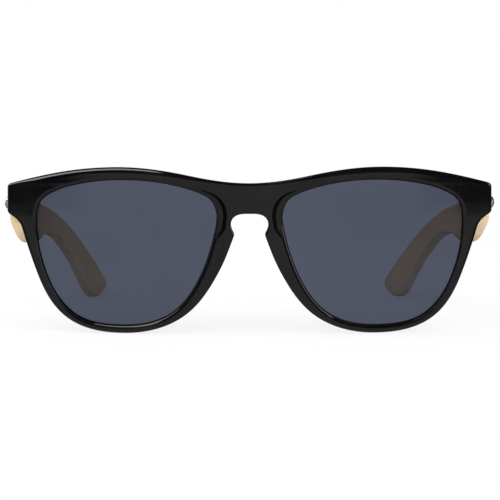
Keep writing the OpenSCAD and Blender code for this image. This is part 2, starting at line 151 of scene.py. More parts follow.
def add_node(tree: Tree, kind: str, inputs: Inputs | Sequence[Any] = (), **settings: Any) -> bpy.types.Node:
    """Adds one node with its settings, values and links.

    Args:
        tree: Node tree that gets the node.
        kind: Blender's name of the node type.
        inputs: Values or output sockets, in order, or by input name or number.
        **settings: Attributes of the node.

    Returns:
        The new node.
    """
    node = tree.nodes.new(kind)
    for key, value in settings.items():
        setattr(node, key, value)
    given = inputs if isinstance(inputs, dict) else dict(enumerate(inputs))
    for key, value in given.items():
        if isinstance(value, Socket):
            tree.links.new(value, node.inputs[key])
        else:
            node.inputs[key].default_value = value
    return node


@dataclass(frozen=True)
class Finish:
    """A material that is named for what the real piece is made of."""

    name: str

    def build(self) -> Material:
        """Makes the material.

        Returns:
            The material, with one Principled shader.
        """
        material = bpy.data.materials.new(self.name)
        material.use_nodes = True
        tree = material.node_tree
        tree.nodes.clear()
        shader = add_node(tree, "ShaderNodeBsdfPrincipled", self.sockets(tree))
        add_node(tree, "ShaderNodeOutputMaterial", [shader.outputs["BSDF"]])
        return material

    def sockets(self, tree: Tree) -> Inputs:
        """What the shader's sockets get, which each finish says for itself."""
        raise NotImplementedError

    def along(self, tree: Tree, size_mm: Sequence[float], turn: Sequence[float]) -> Socket:
        """Places on the piece, counted in a real size along each of its turned axes.

        Args:
            tree: Node tree of the material.
            size_mm: Size along x, y and z, in millimetres.
            turn: Rotation of those axes, in radians.

        Returns:
            The place, as a vector.
        """
        place = add_node(tree, "ShaderNodeTexCoord").outputs["Object"]
        scaled = {"Vector": place, "Rotation": turn, "Scale": [s * MM for s in size_mm]}
        return add_node(tree, "ShaderNodeMapping", scaled, vector_type="TEXTURE").outputs[0]

    def grain(
        self,
        tree: Tree,
        size_mm: Sequence[float],
        turn: Sequence[float] = (0.0, 0.0, 0.0),
        detail: float = 2.0,
        rough: float = 0.5,
    ) -> Socket:
        """Noise whose features have a real size along each axis of the piece.

        Args:
            tree: Node tree of the material.
            size_mm: Feature size along x, y and z, in millimetres.
            turn: Rotation of those axes, in radians.
            detail: Octaves of finer noise.
            rough: Strength of the finer noise.

        Returns:
            The noise value, from 0 to 1.
        """
        place = self.along(tree, size_mm, turn)
        noise = {"Vector": place, "Scale": 1.0, "Detail": detail, "Roughness": rough}
        return add_node(tree, "ShaderNodeTexNoise", noise).outputs["Fac"]

    def layer(
        self,
        tree: Tree,
        under: Socket | str,
        over: str,
        value: Socket,
        span: Pair,
        most: float = 1.0,
        eased: bool = False,
    ) -> Socket:
        """Lays a colour over another one where a value passes through a span.

        Args:
            tree: Node tree of the material.
            under: Lower colour, as a socket or a hex code.
            over: Upper colour, as a hex code.
            value: Value that is looked at.
            span: Where the upper colour starts to show and where it shows most.
            most: Its largest share.
            eased: Whether the share eases in and out.

        Returns:
            The colour.
        """
        ramp = "SMOOTHSTEP" if eased else "LINEAR"
        share = add_node(tree, "ShaderNodeMapRange", [value, *span, 0.0, most], interpolation_type=ramp)
        lower = linear(under) if isinstance(under, str) else under
        # The Mix node repeats its socket names for each type, so they go by number
        colours = {0: share.outputs["Result"], 6: lower, 7: linear(over)}
        return add_node(tree, "ShaderNodeMix", colours, data_type="RGBA").outputs[2]


@dataclass(frozen=True)
class MouldedPolycarbonate(Finish):
    """Black polycarbonate, injection moulded and polished: deep colour under a hard clear gloss."""

    dark: str = "#020203"
    pale: str = "#070708"
    ior: float = 1.585
    gloss: Pair = (0.05, 0.11)
    cloud_mm: float = 14.0
    haze_mm: float = 7.0
    wave_mm: float = 5.0
    wave_depth_mm: float = 0.004
    wave_strength: float = 0.6
    shine: float = 0.5

    def sockets(self, tree: Tree) -> Inputs:
        """Gives a faint cloudiness, and the soft waviness that polishing leaves.

        Args:
            tree: Node tree of the material.

        Returns:
            Values and links of the shader.
        """
        cloud = self.grain(tree, [self.cloud_mm] * 3, detail=3.0)
        haze = self.grain(tree, [self.haze_mm] * 3, detail=4.0, rough=0.6)
        wave = self.grain(tree, [self.wave_mm] * 3, detail=1.0)
        gloss = add_node(tree, "ShaderNodeMapRange", [haze, *NOISE_MID, *self.gloss])
        relief = {"Height": wave, "Distance": self.wave_depth_mm * MM, "Strength": self.wave_strength}
        return {
            "Base Color": self.layer(tree, self.dark, self.pale, cloud, NOISE_MID),
            "Roughness": gloss.outputs["Result"],
            "Normal": add_node(tree, "ShaderNodeBump", relief).outputs["Normal"],
            "IOR": self.ior,
            "Specular IOR Level": self.shine,
        }


@dataclass(frozen=True)
class TintedLens(Finish):
    """Grey polycarbonate lens, dyed in the mass and hard coated: clear, dark and smooth."""

    tint: str = "#4d5262"
    deep: str = "#4a4f5f"
    ior: float = 1.5
    gloss: Pair = (0.0, 0.02)
    cloud_mm: float = 30.0
    wipe_mm: Triple = (9.0, 9.0, 4.0)
    wipe_turn: Triple = (0.0, 0.5, 0.0)

    def sockets(self, tree: Tree) -> Inputs:
        """Lets the dye vary a little, and softens the gloss by faint wiping marks.

        Args:
            tree: Node tree of the material.

        Returns:
            Values and links of the shader.
        """
        cloud = self.grain(tree, [self.cloud_mm] * 3, detail=1.0)
        wipe = self.grain(tree, self.wipe_mm, self.wipe_turn, detail=3.0)
        gloss = add_node(tree, "ShaderNodeMapRange", [wipe, *NOISE_MID, *self.gloss])
        return {
            "Base Color": self.layer(tree, self.deep, self.tint, cloud, NOISE_WIDE),
            "Roughness": gloss.outputs["Result"],
            "IOR": self.ior,
            "Transmission Weight": 1.0,
        }


@dataclass(frozen=True)
class SawnBamboo(Finish):
    """Bamboo, laminated, sawn and oiled: pale tan strips with long fibres and darker bundles in them."""

    splay_deg: float = 0.0
    fall_deg: float = -9.0
    pale: str = "#e8caa0"
    straw: str = "#dab587"
    fibre: str = "#c2935f"
    bundle: str = "#9c6c3e"
    end_grain_and_painted_light: str = "#eedab8"
    butt: str = "#bfa57f"
    fibre_share: float = 0.75
    bundle_at: Pair = (0.60, 0.74)
    bundle_share: float = 0.6
    # Faces count as cut across the grain by the y of their normal. Only faces turned to the front count, so
    # their paler colour is partly end grain and partly painted light.
    end_grain_and_painted_light_at: Pair = (-0.1, -0.55)
    end_grain_and_painted_light_share: float = 0.75
    butt_at: Pair = (-0.86, -0.97)
    butt_share: float = 0.7
    strip_mm: float = 6.0
    strip_tone: Pair = (0.95, 1.03)
    # Real fibres are under 0.1 mm wide, they are drawn three times as wide so that they show
    fibre_mm: Triple = (0.32, 16.0, 0.32)
    bundle_mm: Triple = (0.7, 7.0, 0.7)
    tone_mm: Triple = (3.5, 60.0, 3.5)
    rough: Pair = (0.40, 0.56)
    fibre_depth_mm: float = 0.05
    fibre_strength: float = 0.35
    oil: float = 0.12
    oil_rough: float = 0.3

    def sockets(self, tree: Tree) -> Inputs:
        """Lays fibres, bundles and cut faces over two tones of straw, with the grain along the board; faces
        turned to the front also get painted light.

        Args:
            tree: Node tree of the material.

        Returns:
            Values and links of the shader.
        """
        turn = (math.radians(self.fall_deg), 0.0, math.radians(self.splay_deg))
        tone = self.grain(tree, self.tone_mm, turn)
        fibre = self.grain(tree, self.fibre_mm, turn, detail=3.0, rough=0.6)
        bundle = self.grain(tree, self.bundle_mm, turn, detail=1.0)
        wood = self.layer(tree, self.straw, self.pale, tone, NOISE_WIDE)
        wood = self.layer(tree, wood, self.fibre, fibre, NOISE_MID, self.fibre_share)
        wood = self.layer(tree, wood, self.bundle, bundle, self.bundle_at, self.bundle_share, eased=True)
        # Faces cut across the grain and turned to the front are paler: partly end grain, partly painted
        # light on the wood seen beside the lug. The butt soaks up oil and is darker again
        normal = add_node(tree, "ShaderNodeTexCoord").outputs["Normal"]
        across = add_node(tree, "ShaderNodeSeparateXYZ", [normal]).outputs["Y"]
        wood = self.layer(tree, wood, self.end_grain_and_painted_light, across, self.end_grain_and_painted_light_at, self.end_grain_and_painted_light_share)
        wood = self.layer(tree, wood, self.butt, across, self.butt_at, self.butt_share)
        strip = self.strips(tree, turn)
        shaded = add_node(tree, "ShaderNodeHueSaturation", {"Value": strip, "Color": wood})
        rough = add_node(tree, "ShaderNodeMapRange", [fibre, *NOISE_MID, *self.rough])
        relief = {"Height": fibre, "Distance": self.fibre_depth_mm * MM, "Strength": self.fibre_strength}
        return {
            "Base Color": shaded.outputs["Color"],
            "Roughness": rough.outputs["Result"],
            "Normal": add_node(tree, "ShaderNodeBump", relief).outputs["Normal"],
            "Coat Weight": self.oil,
            "Coat Roughness": self.oil_rough,
        }

    def strips(self, tree: Tree, turn: Sequence[float]) -> Socket:
        """Brightness of the laminated strips, one value to each.

        Args:
            tree: Node tree of the material.
            turn: Rotation of the grain, in radians.

        Returns:
            A brightness around 1.
        """
        place = self.along(tree, [self.strip_mm] * 3, turn)
        height = add_node(tree, "ShaderNodeSeparateXYZ", [place]).outputs["Z"]
        index = add_node(tree, "ShaderNodeMath", [height], operation="FLOOR").outputs[0]
        chance = add_node(tree, "ShaderNodeTexWhiteNoise", {"W": index}, noise_dimensions="1D")
        tone = [chance.outputs["Value"], 0.0, 1.0, *self.strip_tone]
        return add_node(tree, "ShaderNodeMapRange", tone).outputs["Result"]


@dataclass(frozen=True)
class WorkedMetal(Finish):
    """Metal of the hinges and fasteners: small marks from its making, and edges that catch the light."""

    colour: str = "#c9c8c6"
    dull: str = "#aeadab"
    gloss: Pair = (0.18, 0.34)
    marks: Marks = Marks.PLATED
    edge_mm: float = 0.1
    depth_mm: float = 0.01
    strength: float = 0.3

    def sockets(self, tree: Tree) -> Inputs:
        """Lets colour, gloss and relief follow the marks.

        Args:
            tree: Node tree of the material.

        Returns:
            Values and links of the shader.
        """
        mark = self.grain(tree, self.marks.value, detail=3.0, rough=0.6)
        gloss = add_node(tree, "ShaderNodeMapRange", [mark, *NOISE_MID, *self.gloss])
        edge = add_node(tree, "ShaderNodeBevel", {"Radius": self.edge_mm * MM}).outputs["Normal"]
        depth = self.depth_mm * MM
        relief = {"Height": mark, "Distance": depth, "Strength": self.strength, "Normal": edge}
        return {
            "Base Color": self.layer(tree, self.dull, self.colour, mark, NOISE_MID),
            "Roughness": gloss.outputs["Result"],
            "Normal": add_node(tree, "ShaderNodeBump", relief).outputs["Normal"],
            "Metallic": 1.0,
        }


@dataclass(frozen=True)
class Contour:
    """A chain of knots, each with a place and a heading in degrees, joined by arc-like curves."""

    knots: tuple[Triple, ...]
    straight: float = 0.002

    def controls(self, k: int) -> np.ndarray:
        """The four control points of a stretch.

        Args:
            k: Number of the stretch.

        Returns:
            Four points, one to a row.
        """
        p, q = self.knots[k], self.knots[k + 1]
        a, b = np.array(p[:2]), np.array(q[:2])
        turn = math.radians(q[2] - p[2])
        bent = abs(turn) >= self.straight
        arm = (2 / 3) * math.tan(turn / 4) / math.sin(turn / 2) if bent else 1 / 3
        reach = arm * float(np.linalg.norm(b - a))
        out, back = math.radians(p[2]), math.radians(q[2])
        leave = a + reach * np.array([math.cos(out), math.sin(out)])
        arrive = b - reach * np.array([math.cos(back), math.sin(back)])
        return np.array([a, leave, arrive, b])

    def point(self, k: int, t: float) -> np.ndarray:
        """Place along a stretch, with t from 0 to 1."""
        c, u = self.controls(k), 1 - t
        return u * u * u * c[0] + 3 * t * u * u * c[1] + 3 * t * t * u * c[2] + t * t * t * c[3]

    def side(self, k: int, t: float) -> np.ndarray:
        """Unit normal on the left of the heading.

        Args:
            k: Number of the stretch.
            t: Share of it, from 0 to 1.

        Returns:
            The normal.
        """
        c, u = self.controls(k), 1 - t
        d = u * u * (c[1] - c[0]) + 2 * t * u * (c[2] - c[1]) + t * t * (c[3] - c[2])
        return np.array([-d[1], d[0]]) / np.linalg.norm(d)


@dataclass(frozen=True)
class Placing:
    """Turns drawing millimetres, with y from the bridge, into the part's frame in metres."""

    centre_y: float

    def mesh(self, name: str, points: Sequence[Sequence[float]], faces: Sequence[Sequence[int]]) -> Piece:
        """Makes an object from points and faces, without loose points and with its faces outward.

        Args:
            name: Name of the object.
            points: Places in drawing millimetres.
            faces: Point numbers of each face.

        Returns:
            The object, linked to the scene.
        """
        place = (np.array(points, float) - np.array([0.0, self.centre_y, 0.0])) * MM
        data = bpy.data.meshes.new(name)
        data.from_pydata([tuple(p) for p in place], [], [tuple(f) for f in faces])
        work = bmesh.new()
        work.from_mesh(data)
        bmesh.ops.delete(work, geom=[v for v in work.verts if not v.link_faces], context="VERTS")
        bmesh.ops.recalc_face_normals(work, faces=work.faces)
        work.to_mesh(data)
        work.free()
        piece = bpy.data.objects.new(name, data)
        bpy.context.scene.collection.objects.link(piece)
        return piece

    def block(self, low: Sequence[float], high: Sequence[float], move: Matrix, side: Side) -> Piece:
        """Makes a box that cuts a seat for a hinge piece.

        Args:
            low: Lowest corner in millimetres, in its own frame.
            high: Highest corner.
            move: Frame of the box in the drawing of the left side.
            side: Side that it is for.

        Returns:
            The box.
        """
        corners = [move @ Vector(corner) for corner in product(*zip(low, high))]
        points = [(side.value * c.x, c.y, c.z) for c in corners]
        faces = [(0, 1, 3, 2), (4, 6, 7, 5), (0, 4, 5, 1), (2, 3, 7, 6), (0, 2, 6, 4), (1, 5, 7, 3)]
        return self.mesh("cutter", points, faces)


def wall(rings: int, n: int, base: int = 0) -> list[Face]:
    """Faces between neighbouring rings of points.

    Args:
        rings: Number of rings.
        n: Points of each ring.
        base: Number of the first point.

    Returns:
        Point numbers of each face.
    """
    faces: list[Face] = []
    for i, j in product(range(rings - 1), range(n)):
        a, b = base + i * n + j, base + i * n + (j + 1) % n
        faces.append((a, b, b + n, a + n))
    return faces


def carve(piece: Piece, cutters: Sequence[Piece]) -> None:
    """Cuts boxes out of a piece and removes them.

    Args:
        piece: Piece that is cut.
        cutters: Boxes.
    """
    for cutter in cutters:
        cut = piece.modifiers.new("seat", "BOOLEAN")
        cut.operation = "DIFFERENCE"
        cut.solver = "EXACT"
        cut.object = cutter
    settle(piece)
    for cutter in cutters:
        data = cutter.data
        bpy.data.objects.remove(cutter)
        bpy.data.meshes.remove(data)


def settle(piece: Piece) -> None:
    """Applies all modifiers of a piece to its mesh.

    Args:
        piece: Piece that gets the new mesh.
    """
    bpy.context.view_layer.update()
    shown = piece.evaluated_get(bpy.context.evaluated_depsgraph_get())
    old, fresh = piece.data, bpy.data.meshes.new_from_object(shown)
    name = old.name
    piece.modifiers.clear()
    piece.data = fresh
    bpy.data.meshes.remove(old)
    fresh.name = name


def shade(piece: Piece, crease_deg: float) -> None:
    """Smooth shading with creases, in which the large faces stay flat.

    Args:
        piece: Piece that is shaded.
        crease_deg: Angle above which an edge is sharp.
    """
    piece.data.polygons.foreach_set("use_smooth", [True] * len(piece.data.polygons))
    piece.data.set_sharp_from_angle(angle=math.radians(crease_deg))
    weigh = piece.modifiers.new("flat_faces", "WEIGHTED_NORMAL")
    weigh.keep_sharp = True
    weigh.weight = 100
    settle(piece)


def dress(piece: Piece, material: Material) -> None:
    """Gives a piece one material."""
    piece.data.materials.clear()
    piece.data.materials.append(material)


def stand_for(piece: Piece, node: str, body: str) -> None:
    """Lets a piece stand for a CAD node.

    Args:
        piece: Piece of the scene.
        node: CAD node that it replaces.
        body: Body that it moves with.
    """
    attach(piece, body)
    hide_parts(node)


@dataclass
class HingeSizes:
    """Sizes of a spring hinge that the front and the temple are cut for."""

    lug_back: float = 17.5
    seam_x: float = 72.7
    splay_deg: float = 5.8
    left_turn_deg: float = 1.4
    board_t: float = 5.0
    pivot_in: float = 1.9
    barrel_r: float = 1.6
    barrel_gap: float = 0.3
    hinge_z: float = 39.2
    leaf_off: float = 0.55
    leaf_l: float = 4.6
    leaf_h: float = 5.8
    leaf_t: float = 1.2
    leaf_over: float = 1.0
    box_off: float = 0.6
    box_l: float = 8.6
    box_w: float = 3.0
    box_h: float = 3.8
    box_tilt_deg: float = 14.0
    box_sunk: float = 0.8
    box_over: float = 2.0
    shank_t: float = 1.2
    notch_z: Pair = (-1.5, 1.3)
    notch_in: float = 0.8
    notch_gap: float = 0.3
    notch_over: float = 4.0
    seat_gap: float = 0.02

    def board(self, s: float, q: float, z: float) -> Spot:
        """A place on the left board.

        Args:
            s: Distance along it from the seam.
            q: Distance outward from its outer face.
            z: Height over the table.

        Returns:
            The place in drawing millimetres.
        """
        a = math.radians(self.splay_deg)
        x = self.seam_x - s * math.sin(a) + q * math.cos(a)
        return (x, self.lug_back + s * math.cos(a) + q * math.sin(a), z)

    def pivot(self) -> Spot:
        """Middle of the left hinge.

        Returns:
            The place in drawing millimetres.
        """
        a = math.radians(self.splay_deg)
        q = -self.board_t - self.pivot_in
        s = (self.barrel_r + self.barrel_gap - q * math.sin(a)) / math.cos(a)
        return self.board(s, q, self.hinge_z)

    def run_deg(self, side: Side) -> float:
        """Angle at which a side's board runs inward: the left one hangs further in than it is drawn."""
        return self.splay_deg + (self.left_turn_deg if side is Side.LEFT else 0.0)

    def hang(self, place: Placing, side: Side) -> Matrix:
        """Turn of a side's board about its pivot, from its drawn place.

        Args:
            place: Placing of the part.
            side: Side of the board.

        Returns:
            The turn in the part's frame.
        """
        x, y, z = self.pivot()
        spot = Matrix.Translation(Vector((x, y - place.centre_y, z)) * MM)
        turn = math.radians(self.run_deg(side) - self.splay_deg)
        return spot @ Matrix.Rotation(turn, 4, "Z") @ spot.inverted()

    def leaf_seat(self, place: Placing, side: Side) -> Piece:
        """Box that cuts the seat of the hinge leaf in a lug.

        Args:
            place: Placing of the part.
            side: Side that it is for.

        Returns:
            The box.
        """
        x, g = self.pivot()[0] + self.leaf_off, self.seat_gap
        low = (x - g, self.lug_back - self.leaf_t - g, self.hinge_z - self.leaf_h / 2 - g)
        high = (x + self.leaf_l + g, self.lug_back + self.leaf_over, self.hinge_z + self.leaf_h / 2 + g)
        return place.block(low, high, Matrix.Identity(4), side)

    def along_board(self) -> Matrix:
        """Frame at the left pivot that runs along the board."""
        return Matrix.Translation(self.pivot()) @ Matrix.Rotation(math.radians(self.splay_deg), 4, "Z")

    def along_box(self) -> Matrix:
        """Frame at the left pivot that runs along the spring box."""
        return self.along_board() @ Matrix.Rotation(math.radians(-self.box_tilt_deg), 4, "X")

    def board_seats(self, place: Placing, side: Side) -> list[Piece]:
        """Boxes that cut the pocket of the spring box and the notch of the slider in a board.

        Args:
            place: Placing of the part.
            side: Side that they are for.

        Returns:
            Both boxes.
        """
        g, half = self.seat_gap, self.box_h / 2
        start, v0 = self.barrel_r + self.box_off, self.pivot_in - self.box_sunk
        low = (v0 - self.box_over, start - g, -half - g)
        high = (v0 + self.box_w + g, start + self.box_l + g, half + g)
        pocket = place.block(low, high, self.along_box(), side)
        reach = v0 + self.box_w / 2 + self.shank_t / 2 + self.notch_gap
        low = (0.0, -self.notch_over, self.notch_z[0])
        high = (reach, start + self.notch_in, self.notch_z[1])
        return [pocket, place.block(low, high, self.along_board(), side)]


@dataclass(frozen=True)
class Column:
    """One profile of the front: lens opening, outer edge, their normals and the place along them."""

    inner: np.ndarray
    inner_side: np.ndarray
    outer: np.ndarray
    outer_side: np.ndarray
    at: float


@dataclass
class FrontFrame:
    """The moulded front: two bevelled rims, the bridge between sunk bands, and a lug at each end.

    Its profiles are columns, counted along the stretches of both contours. A name that ends in _at is a
    span of that count, and one that ends in _z a span of heights in millimetres.
    """

    place: Placing
    hinge: HingeSizes
    wrap_r: float = 240.0
    mid_z: float = 24.0
    rim_depth: float = 4.2
    bevel_w: float = 1.0
    band_share: float = 0.42
    band_drop: float = 0.08
    bridge_band: float = 1.0
    face_min: float = 0.45
    slope_min: float = 0.2
    lip_drop: float = 0.35
    lip_in: float = 0.4
    lip_over: float = 0.33
    lip_fall: float = 0.3
    lip_fall_z: Pair = (9.0, 3.0)
    lip_sink: float = 0.8
    lip_cut: float = 0.15
    lip_slope: float = 0.9
    lip_step: float = 0.02
    edge_r: float = 0.9
    edge_n: int = 9
    brow_r: float = 1.9
    brow_at: tuple[float, ...] = (1.4, 2.8, 4.4, 5.0)
    bridge_sink: float = 0.6
    bridge_slope: float = 0.8
    bridge_in: float = 0.3
    above_bridge_at: Pair = (1.5, 0.0)
    below_bridge_at: Pair = (12.0, 13.0)
    below_bridge_z: Pair = (27.5, 32.5)
    lower_from: float = 8.0
    pad_depth: float = 4.6
    pad_splay: float = 1.2
    pad_at: Pair = (12.7, 13.8)
    pad_z: Pair = (30.0, 26.5)
    lug_at: tuple[float, ...] = (4.0, 5.0, 8.0, 9.0)
    rear_n: int = 7
    # Distance from the opening, and the share of the rim's width that it keeps within
    rear_outer: Pair = (1.9, 0.45)
    rear_inner: Pair = (1.1, 0.3)
    rear_edge: float = 0.35
    rear_cut: float = 0.3
    face_rounds: tuple[float, ...] = (0.06, 0.08, 0.12, 0.16)
    rear_rounds: tuple[float, ...] = (0.3, 0.25, 0.12, 0.08)
    round_share: float = 0.42
    lens_drop: float = 1.6
    lens_t: float = 2.0
    lens_bite: float = 0.95
    lens_gap: float = 0.05
    # These two pick the slopes beside the bridge that get a material with painted shade
    shaded_slope_from: float = 0.1
    dull_n: int = 6
    finer: int = 3
    outer: Contour = Contour(
        (
            (0.0, 44.5, 0), (17.8, 46.7, 12), (39.2, 49.3, 0), (57.5, 47.7, -10), (71.55, 44.54, -14.5),
            (72.7, 43.3, -90), (72.7, 36.5, -90), (71.8, 35.1, -150), (68.2, 31.2, -107),
            (62.85, 15.9, -112), (53.9, 3.9, -147), (37.4, 0.0, -180), (19.6, 5.1, -215), (8.9, 18.7, -242),
            (4.63, 28.97, -250), (4.56, 29.45, -272.5), (4.67, 29.93, -295), (5.5, 32.4, -270),
            (4.7, 34.4, -225), (0.0, 35.5, -180),
        )
    )
    inner: Contour = Contour(
        (
            (9.69, 36.44, 77), (12.6, 40.69, 29), (20.76, 43.67, 14), (37.75, 45.68, 0),
            (49.43, 44.73, -10), (57.91, 42.42, -24), (61.31, 40.55, -39), (63.4, 37.5, -76),
            (63.82, 35.76, -84), (63.85, 32.6, -90), (60.19, 15.64, -113), (53.14, 6.0, -142),
            (37.45, 2.13, -180), (22.12, 6.59, -218), (13.71, 18.54, -246), (10.36, 28.85, -256.5),
            (10.225, 29.42, -257), (10.1, 29.97, -257.6), (9.64, 32.35, -262), (9.44, 34.6, -271),
            (9.69, 36.44, -283),
        )
    )
    steps: tuple[int, ...] = (8, 7, 7, 6, 5, 5, 4, 5, 5, 8, 8, 8, 8, 8, 6, 2, 2, 4, 4, 5)

    def columns(self) -> list[Column]:
        """All profiles of the left half, clockwise from the nose arch.

        Returns:
            The columns, first those of the joint of the two halves.
        """
        found = []
        low, top = self.outer.knots[-1][1], self.outer.knots[0][1]
        reach = self.edge_r + self.bridge_in
        for k, coarse in enumerate(self.steps):
            count = coarse * self.finer
            for i in range(count):
                t = i / count
                if k > 0:
                    outer, normal = self.outer.point(k - 1, t), self.outer.side(k - 1, t)
                elif i > 0:
                    outer, normal = np.array([0.0, mix(low + reach, top - reach, t)]), np.zeros(2)
                else:
                    outer, normal = np.array([0.0, low]), np.array([0.0, -1.0])
                found.append(Column(self.inner.point(k, t), self.inner.side(k, t), outer, normal, k + t))
        return found

    def skin(self, p: np.ndarray, drop: float) -> float:
        """Depth of the wrapped face, with drop millimetres under it, at a place in the front view."""
        rest = (self.wrap_r - drop) ** 2 - p[0] ** 2 - (p[1] - self.mid_z) ** 2
        return self.wrap_r - math.sqrt(rest)

    def nose(self, c: Column) -> float:
        """How much a column belongs to a nose bearing."""
        return step(c.at, *self.pad_at) * step(c.inner[1], *self.pad_z)

    def beside(self, c: Column) -> float:
        """How much a column belongs to the side of the bridge.

        Args:
            c: The column.

        Returns:
            A share from 0 to 1.
        """
        if c.at < self.lower_from:
            return step(c.at, *self.above_bridge_at)
        return step(c.inner[1], *self.below_bridge_z) * step(c.at, *self.below_bridge_at)

    def ring(self, c: Column) -> tuple[np.ndarray, int, int]:
        """Closed profile of one column.

        Args:
            c: The column.

        Returns:
            Its points, and the numbers of the first and last point of the outer edge.
        """
        lug, nose, near = plateau(c.at, self.lug_at), self.nose(c), self.beside(c)
        sink = self.bridge_sink * near
        fall = self.lip_fall * step(c.inner[1], *self.lip_fall_z)
        lip = self.lip_drop + self.lip_sink * sink + fall
        edge = c.inner - self.lip_over * c.inner_side
        w = float(np.linalg.norm(c.outer - edge))
        band = min(self.bevel_w + self.bridge_band * near, self.band_share * w)
        # The front edge is rounder along the brow
        r = min(mix(self.edge_r, self.brow_r, plateau(c.at, self.brow_at)), w - band - self.face_min)
        wide = min(band + self.slope_min + self.bridge_slope * near, w - r - self.slope_min)
        deep = self.rim_depth + self.pad_depth * nose
        halfway = (self.rim_depth + deep) / 2
        lean = self.pad_splay * nose
        groove_front = self.lens_drop - self.lens_gap
        groove_back = self.lens_drop + self.lens_t + self.lens_gap
        bite = self.lens_bite + self.lens_gap + self.lip_over

        def on(p: np.ndarray, drop: float, hold: float = 0.0, back: float = 0.0) -> Spot:
            """A point under the wrapped face, drawn back to the flat end of the lug by hold."""
            return (p[0], mix(self.skin(p, drop), back, hold), p[1])

        def inside(reach: float, share: float = math.inf) -> np.ndarray:
            """A place that far outside the clear opening, within a share of the rim's width."""
            return edge + min(reach, share * w) * c.inner_side

        face = [
            on(inside(self.lip_in), groove_front),
            on(inside(self.lip_in), lip + self.lip_step),
            on(inside(self.lip_in + self.lip_cut), lip - self.lip_slope * self.lip_cut),
            on(inside(band), self.band_drop + sink),
            on(inside(wide), 0.0),
            on(c.outer - r * c.outer_side, 0.0),
        ]
        points = self.soften(face, self.face_rounds)[:-1]
        first = len(points)
        for a in np.radians(np.linspace(0, 90, self.edge_n)):
            points.append(on(c.outer - r * (1 - math.sin(a)) * c.outer_side, r * (1 - math.cos(a))))
        for a in np.radians(np.linspace(0, 90, self.rear_n)):
            short = self.edge_r * (1 - math.sin(a))
            p = c.outer - (lean + self.edge_r * (1 - math.cos(a))) * c.outer_side
            points.append(on(p, deep - short, lug, self.hinge.lug_back - short))
        last = len(points) - 1
        rear = [
            points[-1],
            on(inside(*self.rear_outer), halfway, lug, self.hinge.lug_back),
            on(inside(*self.rear_inner), self.rim_depth),
            on(inside(self.rear_edge), self.rim_depth),
            on(inside(0.0), self.rim_depth - self.rear_cut),
            on(inside(0.0), groove_back),
        ]
        points += self.soften(rear, self.rear_rounds)[1:]
        points += [on(inside(bite), groove_back), on(inside(bite), groove_front)]
        return np.array(points), first, last

    def soften(self, line: Sequence[Sequence[float]], cuts: Sequence[float], parts: int = 3) -> list[Spot]:
        """Rounds the inner corners of an open line.

        Args:
            line: Points of the line.
            cuts: Length that each corner loses on both sides, in millimetres.
            parts: Steps of the rounding.

        Returns:
            The rounded line.
        """
        corner = [np.array(p, float) for p in line]
        done = [tuple(corner[0])]
        for i, cut in enumerate(cuts, start=1):
            before, after = corner[i - 1] - corner[i], corner[i + 1] - corner[i]
            lengths = float(np.linalg.norm(before)), float(np.linalg.norm(after))
            reach = min(cut, self.round_share * lengths[0], self.round_share * lengths[1])
            a = corner[i] + before / lengths[0] * reach
            b = corner[i] + after / lengths[1] * reach
            for t in np.linspace(0, 1, parts + 1):
                done.append(tuple((1 - t) ** 2 * a + 2 * t * (1 - t) * corner[i] + t * t * b))
        done.append(tuple(corner[-1]))
        return done

    def build(self, material: Material, corner: Material) -> Piece:
        """Makes the front with the seats of the hinge leaves.

        Args:
            material: Finish of the front.
            corner: Finish of the slopes beside the bridge: a darker black with almost no gloss, which
                paints shade into them.

        Returns:
            The front.
        """
        columns = self.columns()
        rings = [self.ring(c) for c in columns]
        first, last = rings[0][1], rings[0][2]
        # Slopes beside the bridge get the second material, a darker black with almost no gloss, as painted
        # shade
        dull = [self.beside(c) > self.shaded_slope_from for c in columns]
        slope = range(first - self.dull_n, first - 1)
        half = np.concatenate([r[0] for r in rings])
        n, m, joint = len(rings), len(rings[0][0]), self.steps[0] * self.finer
        points = [tuple(p) for p in half]
        twin = []
        for i, p in enumerate(half):
            if math.isclose(p[0], 0.0, abs_tol=1e-6):
                twin.append(i)
            else:
                twin.append(len(points))
                points.append((-p[0], p[1], p[2]))
        faces = []
        kinds = []
        for i in range(n):
            for j in range(m):
                if i < joint and first <= j < last:
                    continue
                a, b = i * m + j, i * m + (j + 1) % m
                c, d = ((i + 1) % n) * m + (j + 1) % m, ((i + 1) % n) * m + j
                faces.append((a, d, c, b))
                faces.append((twin[a], twin[b], twin[c], twin[d]))
                kinds += [int(dull[i] and j in slope)] * 2
        front = self.place.mesh("moulded_front", points, faces)
        front.data.materials.append(material)
        front.data.materials.append(corner)
        front.data.polygons.foreach_set("material_index", kinds)
        carve(front, [self.hinge.leaf_seat(self.place, side) for side in Side])
        shade(front, CREASE_DEG)
        stand_for(front, "front_frame", "front")
        return front


@dataclass
class Lens:
    """One lens: a shell of even thickness, cut to the groove of the rim."""

    front: FrontFrame
    side: Side
    rings: int = 18
    middle: Pair = (36.6, 24.5)
    crease_deg: float = 30.0

    def build(self, material: Material) -> Piece:
        """Makes the lens.

        Args:
            material: Finish of the lens.

        Returns:
            The lens.
        """
        f = self.front
        edge = [c.inner + f.lens_bite * c.inner_side for c in f.columns()]
        middle = np.array(self.middle)
        n = len(edge)
        points: list[Spot] = []
        for drop in (f.lens_drop, f.lens_drop + f.lens_t):
            spots = [middle + (1 - k / self.rings) * (p - middle) for k in range(self.rings) for p in edge]
            points += [(self.side.value * q[0], f.skin(q, drop), q[1]) for q in [*spots, middle]]
        faces: list[Face] = []
        back = self.rings * n + 1
        for base in (0, back):
            faces += wall(self.rings, n, base)
            inner = base + (self.rings - 1) * n
            faces += [(inner + i, inner + (i + 1) % n, base + self.rings * n) for i in range(n)]
        faces += [(i, back + i, back + (i + 1) % n, (i + 1) % n) for i in range(n)]
        lens = f.place.mesh(f"{self.side.word}_tinted_lens", points, faces)
        shade(lens, self.crease_deg)
        dress(lens, material)
        stand_for(lens, f"{self.side.word}_lens", "front")
        return lens


